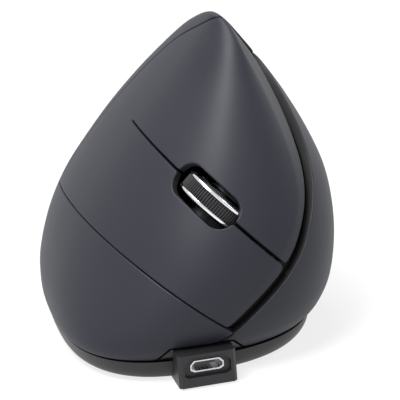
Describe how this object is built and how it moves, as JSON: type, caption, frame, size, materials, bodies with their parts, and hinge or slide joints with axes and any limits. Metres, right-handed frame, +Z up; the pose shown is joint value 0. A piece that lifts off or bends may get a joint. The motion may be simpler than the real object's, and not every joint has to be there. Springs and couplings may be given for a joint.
{
  "type": "vertical ergonomic mouse",
  "caption": "Right-handed vertical ergonomic mouse, a tall teardrop shell with hinged keys, a ribbed scroll wheel and a charging socket in front.",
  "frame": {"origin": "on the desk, under the middle of the body's bounding box", "axes": "+Z up from the desk, -Y towards the front with the charging socket, -X the finger side with the keys, +X the thumb side"},
  "size_m": [0.0672, 0.1197, 0.0743],
  "materials": {
    "shell": "soft-touch matte charcoal",
    "base": "fine-textured near-black",
    "trim": "gloss black",
    "tyre": "ribbed matte black rubber",
    "rim": "polished",
    "hub": "moulded black",
    "socket": "bright tinned steel",
    "board": "green solder mask",
    "component": "moulded black",
    "plunger": "white moulded",
    "lens": "clear moulded",
    "battery": "satin foil pouch",
    "connector": "white moulded",
    "lead_black": "black insulated wire",
    "lead_red": "red insulated wire",
    "ribbon": "white flat cable",
    "screw": "zinc plated",
    "foot": "slick low-friction"
  },
  "bodies": {
    "housing": {"main_shell": "shell", "thumb_shell": "shell", "base_shell": "base", "key_plate": "shell", "thumb_trim": "trim", "thumb_board": "board", "forward_switch": "component", "back_switch": "component", "dpi_switch": "component", "wheel_cradle": "hub", "wheel_switch": "component", "key_board": "board", "left_switch": "component", "right_switch": "component", "main_board": "board", "charging_socket": "socket", "charging_socket_blade": "component", "optical_sensor": "component", "sensor_lens": "lens", "power_switch": "component", "battery": "battery", "battery_plug": "connector", "battery_lead_negative": "lead_black", "battery_lead_positive": "lead_red", "receiver_cap": "component", "receiver_plug": "socket", "key_ribbon": "ribbon", "thumb_ribbon": "ribbon", "case_screws": "screw", "glide_feet": "foot"},
    "left_key": {"left_button": "shell"},
    "right_key": {"right_button": "shell"},
    "left_plunger": {"left_switch_plunger": "plunger"},
    "right_plunger": {"right_switch_plunger": "plunger"},
    "wheel_fork": {"wheel_carrier": "hub", "wheel_encoder": "component"},
    "wheel": {"wheel_hub": "hub", "wheel_tyre": "tyre", "wheel_rim_lower": "rim", "wheel_rim_upper": "rim"},
    "wheel_plunger": {"wheel_switch_plunger": "plunger"},
    "forward_key": {"forward_button": "trim"},
    "back_key": {"back_button": "trim"},
    "dpi_key": {"dpi_button": "trim"},
    "forward_plunger": {"forward_switch_plunger": "plunger"},
    "back_plunger": {"back_switch_plunger": "plunger"},
    "dpi_plunger": {"dpi_switch_plunger": "plunger"},
    "power_slider": {"power_knob": "base"}
  },
  "joints": [
    {"name": "left_click", "type": "hinge", "parent": "housing", "child": "left_key", "pos_m": [-0.00917, -0.01147, 0.04977], "axis": [0.7179, -0.041, 0.695], "range_deg": [0, 0.75], "stiffness_Nm_per_rad": 0.9, "springref_deg": -1.15},
    {"name": "left_switch_press", "type": "slide", "parent": "housing", "child": "left_plunger", "axis": [0.6955, 0, -0.7185], "range_m": [0, 0.000378]},
    {"name": "right_click", "type": "hinge", "parent": "housing", "child": "right_key", "pos_m": [-0.00799, -0.01147, 0.04855], "axis": [0.7179, -0.041, 0.695], "range_deg": [0, 0.75], "stiffness_Nm_per_rad": 0.9, "springref_deg": -1.15},
    {"name": "right_switch_press", "type": "slide", "parent": "housing", "child": "right_plunger", "axis": [0.6955, 0, -0.7185], "range_m": [0, 0.000378]},
    {"name": "wheel_press", "type": "slide", "parent": "housing", "child": "wheel_fork", "axis": [0.6955, 0, -0.7185], "range_m": [0, 0.0005], "stiffness_N_per_m": 900, "springref_m": -0.0003},
    {"name": "wheel_switch_press", "type": "slide", "parent": "housing", "child": "wheel_plunger", "axis": [0.6955, 0, -0.7185], "range_m": [0, 0.0005]},
    {"name": "wheel_spin", "type": "hinge", "parent": "wheel_fork", "child": "wheel", "pos_m": [0.00209, -0.04354, 0.03624], "axis": [0.7179, -0.041, 0.695], "continuous": true},
    {"name": "forward_click", "type": "slide", "parent": "housing", "child": "forward_key", "axis": [-0.891, 0, -0.454], "range_m": [0, 0.0005], "stiffness_N_per_m": 700, "springref_m": -0.0003},
    {"name": "forward_switch_press", "type": "slide", "parent": "housing", "child": "forward_plunger", "axis": [-0.891, 0, -0.454], "range_m": [0, 0.0005]},
    {"name": "back_click", "type": "slide", "parent": "housing", "child": "back_key", "axis": [-0.891, 0, -0.454], "range_m": [0, 0.0005], "stiffness_N_per_m": 700, "springref_m": -0.0003},
    {"name": "back_switch_press", "type": "slide", "parent": "housing", "child": "back_plunger", "axis": [-0.891, 0, -0.454], "range_m": [0, 0.0005]},
    {"name": "dpi_click", "type": "slide", "parent": "housing", "child": "dpi_key", "axis": [-0.891, 0, -0.454], "range_m": [0, 0.0005], "stiffness_N_per_m": 700, "springref_m": -0.0003},
    {"name": "dpi_switch_press", "type": "slide", "parent": "housing", "child": "dpi_plunger", "axis": [-0.891, 0, -0.454], "range_m": [0, 0.0005]},
    {"name": "power_slide", "type": "slide", "parent": "housing", "child": "power_slider", "axis": [1, 0, 0], "range_m": [0, 0.002]}
  ],
  "couplings": [
    {"joint": "left_switch_press", "follows": "left_click", "m_per_rad": 0.0288},
    {"joint": "right_switch_press", "follows": "right_click", "m_per_rad": 0.0288},
    {"joint": "wheel_switch_press", "follows": "wheel_press", "ratio": 1},
    {"joint": "forward_switch_press", "follows": "forward_click", "ratio": 1},
    {"joint": "back_switch_press", "follows": "back_click", "ratio": 1},
    {"joint": "dpi_switch_press", "follows": "dpi_click", "ratio": 1}
  ]
}
